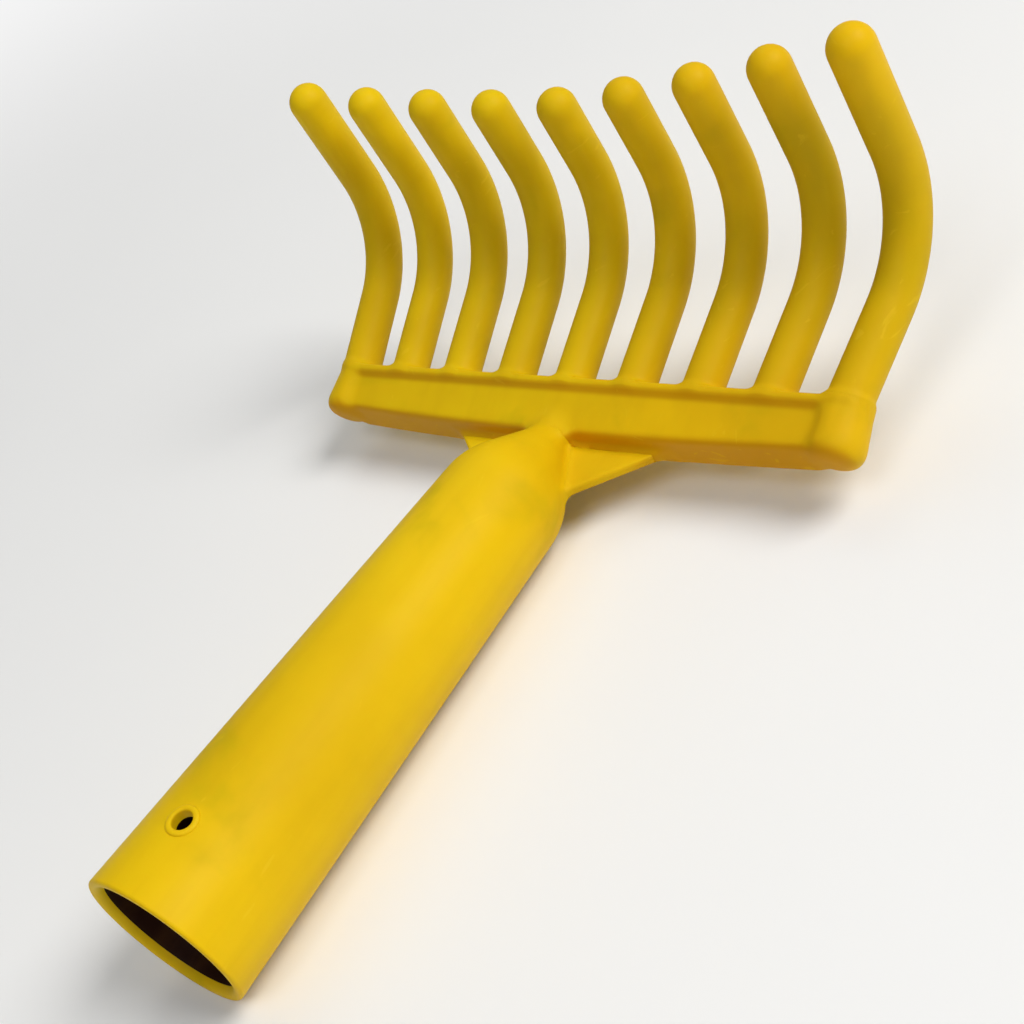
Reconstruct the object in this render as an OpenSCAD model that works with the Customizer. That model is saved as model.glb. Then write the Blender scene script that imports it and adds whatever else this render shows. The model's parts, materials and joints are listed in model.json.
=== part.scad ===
// Olive rake head: a cross bar with curved round tines on a tapered pole socket.
// All sizes in millimetres. Origin at the centre of the socket's mouth.
// +Y runs along the socket towards the tines, +Z is the side the tines curl to,
// X runs along the cross bar.

/* [Tines] */
// Distance between neighbouring tines along the bar
tine_pitch = 18.7; // [17:0.1:22]
// Diameter of the inner tines
tine_d = 9.6; // [8:0.1:10.5]
// Diameter of the two outermost tines
end_tine_d = 10.2; // [8.5:0.1:11]
// Straight length from the bar to the bend
root_len = 21.5; // [14:0.5:32]
// Size of the fillet where an inner tine meets the bar
root_fillet = 1.6; // [0.8:0.1:2.4]
// Centre-line radius of the bend
bend_r = 28.5; // [20:0.5:40]
// Angle the tine turns through in its bend
bend_angle = 71; // [45:1:90]
// Straight length past the bend on the middle tine
tip_len = 15.8; // [8:0.1:24]
// Extra tip length on the outermost tines
tip_extra = 8.5; // [0:0.5:14]
// Angle each outermost tine splays away from the middle
splay = 8; // [0:0.5:10]
// Angle each outermost tine leans back towards the middle past its bend
lean = 3.4; // [0:0.2:6]

/* [Cross bar] */
// Thickness of the bar
bar_t = 10; // [9:0.1:12]
// Depth of the bar's front face at its ends
bar_front = 11.4; // [9:0.1:15]
// How much further the back edge reaches than the front edge
bar_slope = 2.6; // [0.5:0.1:5]
// How much deeper the bar is at its middle than at its ends
bar_bow = 1.9; // [0.5:0.1:3]
// Greatest radius of the rounded post at each end
post_r = 6.2; // [6:0.1:7.2]
// Depth of the shallow panel in the front face
panel_depth = 1.2; // [0.6:0.1:2]
// Width of the rim above the panel
panel_rim = 2.8; // [1.5:0.1:4]
// Angle between the roots of the tines and the socket's axis
head_angle = 25; // [15:0.5:35]

/* [Socket] */
// Length of the tapered tube, up to its domed end
socket_len = 125; // [100:1:150]
// Radius of the straight bore at the mouth
bore_r = 15.9; // [14.8:0.1:17]
// Thickness of the wall at the mouth
mouth_wall = 2.7; // [1.8:0.1:4]
// Length of the straight bore
bore_len = 30; // [24:1:40]
// Radius of the taper at its inner end
taper_r = 12.2; // [11:0.1:13.4]
// Thickness of the wall where the dome begins
heel_wall = 2.5; // [1.8:0.1:4]
// Solid length between the end of the taper and the dome
bore_floor = 13; // [8:0.5:25]
// Radius of the hole for the fixing screw
screw_r = 2.2; // [1.5:0.1:2.6]
// Distance of the screw hole from the mouth
screw_y = 17.5; // [12:0.5:20]
// Angle of the screw hole round the tube, from the curl side towards +X
screw_turn = 11; // [0:1:20]

/* [Gussets] */
// Thickness of each web
web_t = 2.4; // [1.6:0.1:4]
// Reach of each web along the bar, from the middle
web_x = 32.4; // [26:0.1:38]

/* [Hidden] */
$fn = 96;
tine_count = 9;
mid = (tine_count - 1) / 2;
half_span = mid * tine_pitch;

// A length greater than the whole bar, for cutting shapes
space = 400;

// Tapered tube and its bore
mouth_r = bore_r + mouth_wall;
heel_r = taper_r + heel_wall;
bore_depth = socket_len - bore_floor;
bore_cone = 6;
bore_cone_r = taper_r * 0.4;
overrun = 1;

// Neck that runs from the end of the tube into the lower edge of the bar, with a round shoulder
neck_r = 2.6;
neck_len = 21.5;
neck_slope = atan((heel_r - neck_r) / neck_len);
tube_slope = atan((mouth_r - heel_r) / socket_len);
shoulder_r = 12;
shoulder_run = shoulder_r * tan((neck_slope - tube_slope) / 2);
shoulder_steps = 6;

// Raised rim of the screw hole and its countersink
boss_w = 1.3;
boss_r = screw_r + boss_w;
boss_proud = 0.5;
sink_w = 1;
sink_depth = 0.5;
boss_top = mouth_r - (mouth_r - heel_r) * screw_y / socket_len + boss_proud;

// Middle of the bar's tine face, past the end of the neck
face_gap = 10.5;
head_y = socket_len + neck_len + face_gap;
head_z = 5;

// Lower edge of the bar: level behind the webs, then rising in a straight line to each end
bow_mid = bar_front + bar_bow;
bow_gap = 1;
bow_x = web_x + bow_gap;
bow_yaw = atan(bar_bow / (half_span - bow_x));
bow_tilt = atan(bar_slope / bar_t);

// Cut at the lower corners of the bar: its start below the tine face, and its run along the bar
corner_rise = 3;
corner_start = bar_front - corner_rise;
corner_run = 7;
corner_spare = 2;

// End posts, set a little towards the back of the bar: each widens from its tine to a rounded foot
post_back = 0.5;
post_ledge = 0.2;
post_top_r = end_tine_d / 2 + post_ledge;
foot_rise = 0.2;
foot_round = 4;
foot_step = 22.5;
post_len = bar_front + bar_slope - foot_rise;

// Panel between the end posts
panel_gap = 0.6;
panel_x = half_span - post_r - panel_gap;
panel_corner = 2.2;

// Webs: level of the curl-side face, start inside the shoulder, and outer corner inside the bar
web_top = -1.4;
web_rise = 2.8;
web_y = socket_len + web_rise;
web_inset = 3.1;
web_side = heel_r - web_inset;
web_inner = 3;
web_drop = 12.4;
web_end_y = head_y - web_drop;

// Step between a rod and the ball or bend that continues it
step = 0.05;

// Tines: end of the bend, and how far the straight parts run into the bar and the bend
bend_y = root_len + bend_r * sin(bend_angle);
bend_z = bend_r * (1 - cos(bend_angle));
bend_lap = 0.3;
root_sink = 3;
tip_power = 1.5;
fillet_inset = 0.1;
fillet_slab = bar_t - fillet_inset;
fillet_step = 22.5;

// Turn and move a shape from the bar's own frame: y along the tine roots, z out of the front face
module at_head() {
    translate([0, head_y, head_z])
        rotate([head_angle, 0, 0])
            children();
}

// Turn a shape made along +Z so that it lies along +Y
module along_y() {
    rotate([-90, 0, 0])
        children();
}

// Outline of the bar seen from its front, with the lower corners cut
module bar_plan() {
    low = bow_mid + bar_slope + corner_spare;
    polygon([
        [-half_span, 0],
        [-half_span, -corner_start],
        [-half_span + corner_run, -low],
        [half_span - corner_run, -low],
        [half_span, -corner_start],
        [half_span, 0]
    ]);
}

// Move a shape so that its plane y = 0 is a lower face of the bar: side -1, 0 or 1 for left, middle or right
module on_lower_face(side) {
    translate([side * bow_x, -bow_mid, bar_t / 2])
        rotate([0, 0, side * bow_yaw])
            rotate([-bow_tilt, 0, 0])
                children();
}

// Flat body of the bar with its deeper middle and sloping lower edge
module bar_body() {
    difference() {
        translate([0, 0, -bar_t / 2])
            linear_extrude(height = bar_t)
                bar_plan();
        for (side = [-1, 0, 1])
            on_lower_face(side)
                translate([-space / 2, -space, -space / 2])
                    cube(space);
    }
}

// Rounded post that carries an end tine down the end of the bar
module end_post() {
    translate([0, 0, -post_back])
        along_y()
            rotate_extrude()
                polygon([
                    [0, 0],
                    [post_top_r, 0],
                    for (a = [0 : foot_step : 90])
                        [post_r - foot_round * (1 - cos(a)), -post_len + foot_round * (1 - sin(a))],
                    [0, -post_len]
                ]);
}

// Shallow panel in the front face, open at the lower edge
module panel_cut() {
    translate([0, 0, bar_t / 2 - panel_depth])
        linear_extrude(height = bar_t)
            polygon([
                [-panel_x, -space],
                [-panel_x, -panel_rim - panel_corner],
                [-panel_x + panel_corner, -panel_rim],
                [panel_x - panel_corner, -panel_rim],
                [panel_x, -panel_rim - panel_corner],
                [panel_x, -space]
            ]);
}

// Whole bar in its own frame
module bar_shape() {
    difference() {
        union() {
            bar_body();
            for (side = [-1, 1])
                translate([side * half_span, 0, 0])
                    end_post();
        }
        panel_cut();
    }
}

// Outside of the socket: tapered tube, round shoulder and neck to the bar
module socket_outer() {
    start_r = heel_r + shoulder_run * sin(tube_slope);
    start_y = socket_len - shoulder_run * cos(tube_slope);
    along_y()
        rotate_extrude()
            polygon([
                [0, 0],
                [mouth_r, 0],
                for (i = [0 : shoulder_steps])
                    let (a = tube_slope + (neck_slope - tube_slope) * i / shoulder_steps)
                        [start_r + shoulder_r * (cos(a) - cos(tube_slope)),
                            start_y + shoulder_r * (sin(a) - sin(tube_slope))],
                [neck_r, socket_len + neck_len],
                [0, socket_len + neck_len]
            ]);
}

// Bore of the socket: straight seat at the mouth, then a wedge taper with a coned end
module socket_bore() {
    along_y()
        rotate_extrude()
            polygon([
                [0, -overrun],
                [bore_r, -overrun],
                [bore_r, bore_len],
                [taper_r, bore_depth],
                [bore_cone_r, bore_depth + bore_cone],
                [0, bore_depth + bore_cone]
            ]);
}

// Turn and move a shape made along +Z to the place of the fixing screw
module at_screw() {
    rotate([0, screw_turn, 0])
        translate([0, screw_y, 0])
            children();
}

// Hole for the screw that fixes the pole, with a countersink in its rim
module screw_hole() {
    at_screw() {
        cylinder(h = 2 * mouth_r, r = screw_r);
        translate([0, 0, boss_top - sink_depth])
            cylinder(h = 2 * sink_depth, r1 = screw_r, r2 = screw_r + 2 * sink_w);
    }
}

module socket() {
    color("gold")
        difference() {
            union() {
                socket_outer();
                at_screw()
                    cylinder(h = boss_top, r = boss_r);
            }
            socket_bore();
            screw_hole();
            at_head()
                bar_shape();
        }
}

module head_bar() {
    color("goldenrod")
        at_head()
            bar_shape();
}

// Flat web between one side of the socket and the lower edge of the bar
module gusset(side) {
    difference() {
        translate([0, 0, web_top - web_t])
            linear_extrude(height = web_t)
                polygon([
                    [side * web_inner, web_y],
                    [side * web_side, web_y],
                    [side * web_x, web_end_y],
                    [side * web_inner, web_end_y]
                ]);
        socket_outer();
        at_head()
            on_lower_face(0)
                translate([-space / 2, 0, -space / 2])
                    cube(space);
    }
}

module gusset_left() {
    color("khaki")
        gusset(-1);
}

module gusset_right() {
    color("khaki")
        gusset(1);
}

// Curved tine along its own centre line: straight root, bend, straight tip with a round end
module tine_curve(r, tip) {
    along_y()
        translate([0, 0, -root_sink])
            cylinder(h = root_len + root_sink + bend_lap, r = r);
    translate([0, root_len, bend_r])
        rotate([90, 0, 90])
            rotate([0, 0, -90])
                rotate_extrude(angle = bend_angle)
                    translate([bend_r, 0])
                        circle(r = r - step);
    translate([0, bend_y, bend_z])
        rotate([bend_angle - 90, 0, 0]) {
            translate([0, 0, -bend_lap])
                cylinder(h = tip + bend_lap, r = r);
            translate([0, 0, tip])
                sphere(r = r - step);
        }
}

// Fillet round the root of a tine of radius r: a concave ring, no thicker than the bar
module root_ring(r) {
    intersection() {
        along_y()
            rotate_extrude()
                polygon([
                    [0, -root_sink],
                    [r + root_fillet, -root_sink],
                    for (a = [0 : fillet_step : 90])
                        [r - step + root_fillet * (1 - sin(a)), root_fillet * (1 - cos(a))],
                    [0, root_fillet]
                ]);
        translate([-space / 2, -space / 2, -fillet_slab / 2])
            cube([space, space, fillet_slab]);
    }
}

// Tine number i, counted from 1 at the left end, cut off flush with the bar
module tine(i) {
    k = (i - 1 - mid) / mid;
    outermost = abs(k) == 1;
    r = (outermost ? end_tine_d : tine_d) / 2;
    tip = tip_len + tip_extra * pow(abs(k), tip_power);
    color("yellow")
        at_head()
            translate([k * half_span, 0, 0])
                difference() {
                    rotate([0, 0, -splay * k]) {
                        rotate([0, -lean * k, 0])
                            tine_curve(r, tip);
                        if (!outermost)
                            root_ring(r);
                    }
                    translate([-space / 2, -space, -space / 2])
                        cube(space);
                }
}

module tine_1() { tine(1); }
module tine_2() { tine(2); }
module tine_3() { tine(3); }
module tine_4() { tine(4); }
module tine_5() { tine(5); }
module tine_6() { tine(6); }
module tine_7() { tine(7); }
module tine_8() { tine(8); }
module tine_9() { tine(9); }

socket();
head_bar();
gusset_left();
gusset_right();
tine_1();
tine_2();
tine_3();
tine_4();
tine_5();
tine_6();
tine_7();
tine_8();
tine_9();
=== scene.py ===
"""Olive rake head in yellow moulded plastic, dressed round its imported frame.

The head is one moulding, so the outside of every piece is taken from one blended surface: a signed distance
to the bar, tines, socket and webs, joined with soft fillets. Each piece is lofted by casting rays from inside
it to that surface, and stops where its neighbour begins. Lengths are in millimetres until a mesh is written
in metres.
"""

import json
import logging
import math
from dataclasses import dataclass
from enum import Enum
from typing import Callable, Sequence

import bpy
import numpy as np
from mathutils import Matrix, Vector


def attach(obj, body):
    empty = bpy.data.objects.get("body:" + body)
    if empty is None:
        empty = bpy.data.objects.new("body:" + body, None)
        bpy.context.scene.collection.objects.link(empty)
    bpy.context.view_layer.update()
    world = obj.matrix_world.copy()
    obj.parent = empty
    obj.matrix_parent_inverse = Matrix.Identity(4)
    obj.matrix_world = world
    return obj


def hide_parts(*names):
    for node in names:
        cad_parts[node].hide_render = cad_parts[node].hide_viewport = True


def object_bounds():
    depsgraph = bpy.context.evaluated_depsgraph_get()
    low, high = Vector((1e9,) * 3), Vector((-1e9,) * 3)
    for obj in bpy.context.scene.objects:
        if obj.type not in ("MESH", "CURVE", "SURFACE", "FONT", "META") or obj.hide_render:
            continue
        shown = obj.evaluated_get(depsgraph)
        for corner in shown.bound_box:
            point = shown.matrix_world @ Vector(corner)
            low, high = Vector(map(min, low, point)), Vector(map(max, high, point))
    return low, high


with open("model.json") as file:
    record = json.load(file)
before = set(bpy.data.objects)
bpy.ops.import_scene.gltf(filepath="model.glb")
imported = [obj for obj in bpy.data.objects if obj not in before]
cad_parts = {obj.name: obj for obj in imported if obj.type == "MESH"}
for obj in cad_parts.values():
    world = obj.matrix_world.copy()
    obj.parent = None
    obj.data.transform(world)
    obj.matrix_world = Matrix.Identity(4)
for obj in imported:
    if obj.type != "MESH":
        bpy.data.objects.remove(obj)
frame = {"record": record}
CAD_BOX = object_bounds()

MM = 0.001
BODY = "root"
NOISE_MIDDLE = 0.5
MIX_SHARE, MIX_FIRST, MIX_SECOND, MIX_COLOUR = 0, 6, 7, 2

LOG = logging.getLogger("olive_rake")

Points = np.ndarray
Distance = Callable[[Points], Points]
Pair = tuple[float, float]
Triple = tuple[float, float, float]
Colour = Triple


class Side(Enum):
    """A side of the head, seen from its curl side with the tines up."""

    LEFT = -1
    RIGHT = 1


class LowerFace(Enum):
    """One of the three faces under the bowed bar."""

    LEFT = -1
    MIDDLE = 0
    RIGHT = 1


class Layer(Enum):
    """Which finish a face of the socket takes."""

    OUTSIDE = 0
    BORE = 1


class Axis(Enum):
    """An axis to turn about, as the numbers of the two axes that the turn mixes."""

    X = (1, 2)
    Y = (2, 0)
    Z = (0, 1)


Row = tuple[np.ndarray, Layer, float]


def smooth_min(a: Points, b: Points, soft: float) -> Points:
    """Join two shapes with a fillet.

    Args:
        a: Signed distances to the first shape.
        b: Signed distances to the second shape.
        soft: Reach of the fillet along both surfaces.

    Returns:
        Signed distances to the joined shape.
    """
    h = np.clip(0.5 + 0.5 * (b - a) / soft, 0.0, 1.0)
    return b + (a - b) * h - soft * h * (1.0 - h)


def smooth_max(a: Points, b: Points, soft: float) -> Points:
    """Cut one shape by another with an edge rounded over a reach of soft."""
    return -smooth_min(-a, -b, soft)


def smooth_step(t: Points) -> Points:
    """Ease from 0 to 1 with level ends."""
    t = np.clip(t, 0.0, 1.0)
    return t * t * (3.0 - 2.0 * t)


def unit(v: Points) -> Points:
    """Scale vectors to length 1."""
    return v / np.linalg.norm(v, axis=-1, keepdims=True)


def spin(p: Points, axis: Axis, angle: float) -> Points:
    """Turn points or directions about an axis, right-handed.

    Args:
        p: The points or directions.
        axis: The axis, through the origin.
        angle: How far to turn, in radians.

    Returns:
        What was turned.
    """
    i, j = axis.value
    c, s = math.cos(angle), math.sin(angle)
    turned = np.array(p, float)
    turned[..., i] = c * p[..., i] - s * p[..., j]
    turned[..., j] = s * p[..., i] + c * p[..., j]
    return turned


def past_line(x: Points, y: Points, start: Pair, end: Pair) -> Points:
    """Distance from a line on a plane, positive on its right-hand side."""
    dx, dy = end[0] - start[0], end[1] - start[1]
    return ((x - start[0]) * dy - (y - start[1]) * dx) / math.hypot(dx, dy)


def cast(surface: Distance, start: Points, ray: Points, reach: float = 40.0, rounds: int = 70) -> Points:
    """Walk from points inside a shape along rays to its surface.

    Args:
        surface: Signed distance to the shape.
        start: Points inside it, one per ray.
        ray: Unit directions, one per ray.
        reach: Longest way to a surface.
        rounds: Steps to take, each as long as the distance left.

    Returns:
        Points on the surface.
    """
    length = np.zeros(start.shape[:-1])
    for _ in range(rounds):
        length = np.clip(length - surface(start + length[..., None] * ray), 0.0, reach)
    return start + length[..., None] * ray


def mount(name: str) -> dict:
    """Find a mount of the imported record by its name."""
    return next(m for m in frame["record"]["mounts"] if m["name"] == name)


class MeshMaker:
    """Collects vertices and faces for one piece and turns them into an object."""

    def __init__(self, name: str) -> None:
        """Start an empty mesh.

        Args:
            name: The piece's name.
        """
        self.name = name
        self.points: list[Points] = []
        self.faces: list[tuple[int, ...]] = []
        self.layers: list[int] = []
        self.count = 0

    def add(self, points: Points) -> np.ndarray:
        """Add vertices.

        Args:
            points: Coordinates, in millimetres.

        Returns:
            The new vertices' numbers.
        """
        self.points.append(np.asarray(points, float).reshape(-1, 3))
        first = self.count
        self.count += len(self.points[-1])
        return np.arange(first, self.count)

    def band(self, lower: Sequence[int], upper: Sequence[int], layer: Layer = Layer.OUTSIDE,
             skip: Sequence[int] = ()) -> None:
        """Bridge two rings of as many vertices with quads.

        Args:
            lower: Vertex numbers of the first ring.
            upper: Vertex numbers of the second ring.
            layer: Finish of the new faces.
            skip: Places along the ring that stay open.
        """
        size = len(lower)
        for i in range(size):
            if i not in skip:
                j = (i + 1) % size
                self.faces.append((lower[i], lower[j], upper[j], upper[i]))
                self.layers.append(layer.value)

    def extend(self, last: Sequence[int], rings: Sequence[Points],
               layer: Layer = Layer.OUTSIDE) -> np.ndarray:
        """Carry a skin on from a ring through new ones.

        Args:
            last: Vertex numbers of the ring to start from.
            rings: The new rings, of as many points each.
            layer: Finish of the new faces.

        Returns:
            Vertex numbers of the last new ring.
        """
        for points in rings:
            ring = self.add(points)
            self.band(last, ring, layer)
            last = ring
        return last

    def cap(self, ring: Sequence[int], tip: Points, layer: Layer = Layer.OUTSIDE) -> None:
        """Close a ring with a fan to one point.

        Args:
            ring: Vertex numbers of the ring, in reverse where the skin starts from it.
            tip: The point at the middle.
            layer: Finish of the new faces.
        """
        middle = int(self.add(tip)[0])
        for i in range(len(ring)):
            self.faces.append((ring[i], ring[(i + 1) % len(ring)], middle))
            self.layers.append(layer.value)

    def loft(self, rings: Sequence[Points]) -> None:
        """Skin a closed body through rings, with a fan at each end.

        Args:
            rings: Rings of as many points each.
        """
        first = self.add(rings[0])
        last = self.extend(first, rings[1:])
        self.cap(first[::-1], rings[0].mean(axis=0))
        self.cap(last, rings[-1].mean(axis=0))

    def make(self, crease: float) -> bpy.types.Object:
        """Write the mesh in metres with outward faces and smooth shading.

        Args:
            crease: Angle, in degrees, past which an edge stays sharp.

        Returns:
            The new object, linked to the scene.
        """
        points = np.vstack(self.points) * MM
        faces = self.faces
        corners = np.array([(f[0], f[i], f[i + 1]) for f in faces for i in range(1, len(f) - 1)])
        a, b, c = (points[corners[:, i]] for i in range(3))
        if np.einsum("ij,ij->", a, np.cross(b, c)) < 0.0:
            faces = [f[::-1] for f in faces]
        mesh = bpy.data.meshes.new(self.name)
        mesh.from_pydata(points.tolist(), [], [[int(i) for i in f] for f in faces])
        mesh.polygons.foreach_set("use_smooth", [True] * len(faces))
        mesh.polygons.foreach_set("material_index", self.layers)
        mesh.set_sharp_from_angle(angle=math.radians(crease))
        mesh.validate()
        mesh.update()
        piece = bpy.data.objects.new(self.name, mesh)
        bpy.context.scene.collection.objects.link(piece)
        return piece


class Piece:
    """A sub-assembly of the head that stands for one node of the frame."""

    @property
    def node(self) -> str:
        """Name of the node that the piece replaces."""
        raise NotImplementedError

    def build(self, moulding: "Moulding") -> bpy.types.Object:
        """Model the piece as its share of the moulding."""
        raise NotImplementedError

    def dress(self, moulding: "Moulding", finishes: Sequence[bpy.types.Material]) -> None:
        """Build the piece, give it its finishes and put it in the place of its node.

        Args:
            moulding: The blended surface of the whole head.
            finishes: Its materials, in the order of Layer.
        """
        piece = self.build(moulding)
        for finish in finishes:
            piece.data.materials.append(finish)
        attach(piece, BODY)
        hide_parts(self.node)
        LOG.info("%s stands for %s with %d faces", piece.name, self.node, len(piece.data.polygons))


@dataclass(frozen=True)
class HeadFrame:
    """The cross bar's own frame: x along the bar, u along the tine roots, w out of the front face."""

    origin: Triple = (0.0, 157.0, 5.0)
    angle: float = math.radians(25.0)

    def to_head(self, p: Points) -> Points:
        """Turn points from the part's frame to the bar's."""
        return spin(p - np.array(self.origin), Axis.X, -self.angle)

    def to_part(self, h: Points) -> Points:
        """Turn points from the bar's frame to the part's."""
        return spin(h, Axis.X, self.angle) + np.array(self.origin)


@dataclass(frozen=True)
class CrossBar(Piece):
    """Bar that carries the tines: a bowed body, rounded end posts and a shallow front panel."""

    head: HeadFrame
    half_span: float = 74.8
    thickness: float = 10.0
    front: float = 11.4
    slope: float = 2.6
    bow: float = 1.9
    bow_x: float = 33.4
    corner_start: float = 8.4
    corner_run: float = 7.0
    corner_drop: float = 9.5
    post_top: float = 5.3
    post_r: float = 6.2
    post_back: float = 0.5
    post_len: float = 13.8
    foot_round: float = 4.7
    foot_start: float = 9.8
    panel_x: float = 72.6
    panel_depth: float = 1.2
    panel_rim: float = 2.8
    panel_corner: float = 4.0
    edge: float = 1.5
    ledge: float = 0.8
    post_blend: float = 1.6
    panel_edge: float = 1.6
    seam: float = 0.06
    station: float = 0.6
    post_stations: int = 12
    post_turn: float = math.radians(80.0)
    ring: int = 112

    @property
    def node(self) -> str:
        """Name of the node that the bar replaces."""
        return "head_bar"

    @property
    def deep(self) -> float:
        """Depth of the front face at the middle of the bar."""
        return self.front + self.bow

    @property
    def tilt(self) -> float:
        """Angle of the sloping lower faces."""
        return math.atan(self.slope / self.thickness)

    def below(self, h: Points, face: LowerFace) -> Points:
        """Distance below a lower face of the bar.

        Args:
            h: Points in the bar's frame.
            face: Which lower face.

        Returns:
            Signed distances, positive below the face.
        """
        yaw = face.value * math.atan(self.bow / (self.half_span - self.bow_x))
        x, u, w = h[..., 0] - face.value * self.bow_x, h[..., 1] + self.deep, h[..., 2] - self.thickness / 2
        level = math.cos(self.tilt)
        return x * math.sin(yaw) * level - u * math.cos(yaw) * level + w * math.sin(self.tilt)

    def field(self, h: Points) -> Points:
        """Signed distance to the bar, in its own frame.

        Args:
            h: Points in the bar's frame.

        Returns:
            Signed distances, negative inside.
        """
        x, u, w = np.abs(h[..., 0]), h[..., 1], h[..., 2]
        half = self.thickness / 2
        body = smooth_max(np.abs(w) - half, u, self.edge)
        for face in LowerFace:
            body = smooth_max(body, self.below(h, face), self.edge)
        body = smooth_max(body, x - self.half_span, self.edge)
        cut_from = (self.half_span, -self.corner_start)
        cut_to = (self.half_span + self.corner_run, self.corner_drop - self.corner_start)
        body = smooth_max(body, past_line(x, u, cut_from, cut_to), self.edge)
        panel = smooth_max(x - self.panel_x, u + self.panel_rim, self.panel_corner)
        panel = smooth_max(panel, half - self.panel_depth - w, self.panel_edge)
        body = smooth_max(body, -panel, self.panel_edge)
        widen = (self.post_r - self.post_top) / self.foot_start
        post = np.hypot(x - self.half_span, w + self.post_back) - self.post_top + widen * u
        post = smooth_max(post / math.hypot(1.0, widen), -u - self.post_len, self.foot_round)
        post = smooth_max(post, u, self.ledge)
        return smooth_min(body, post, self.post_blend)

    def stations(self) -> Points:
        """Choose the sections to loft through, closer round the ends of the posts.

        Returns:
            Places along the bar.
        """
        middle = np.linspace(-self.half_span, self.half_span, int(2 * self.half_span / self.station) + 1)
        turn = np.linspace(0.0, self.post_turn, self.post_stations + 1)[1:]
        end = self.half_span + self.post_r * np.sin(turn)
        return np.concatenate([-end[::-1], middle, end])

    def build(self, moulding: "Moulding") -> bpy.types.Object:
        """Loft the bar out of the moulding, section by section.

        Args:
            moulding: The blended surface of the whole head.

        Returns:
            The bar's object.
        """
        half, low = self.thickness / 2, self.deep
        corners = np.array([[0.0, half], [0.0, -half], [-low - self.slope, -half], [-low, half], [0.0, half]])
        lengths = np.linalg.norm(np.diff(corners, axis=0), axis=1)
        along = np.concatenate([[0.0], np.cumsum(lengths)])
        walk = np.linspace(0.0, along[-1], self.ring, endpoint=False)
        rim = np.stack([np.interp(walk, along, corners[:, i]) for i in (0, 1)], axis=-1)
        x = self.stations()
        past = smooth_step((np.abs(x) - self.half_span + self.post_r) / self.post_r)
        start = np.zeros((len(x), self.ring, 3))
        start[..., 0] = x[:, None]
        start[..., 1] = -(self.front / 2 * (1.0 - past) + self.foot_start * past)[:, None]
        start[..., 2] = -self.post_back
        rays = np.zeros_like(start)
        rays[..., 1:] = unit(rim - start[..., 1:])

        def inside(h: Points) -> Points:
            """Distance to the bar's share of the moulding, in the bar's frame."""
            share = moulding.share(moulding.field(self.head.to_part(h), moulding.tines), moulding.past_bar(h))
            return np.maximum(share, h[..., 1] - self.seam)

        maker = MeshMaker("cross_bar")
        maker.loft(self.head.to_part(cast(inside, start, rays)))
        return maker.make(moulding.crease)


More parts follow.
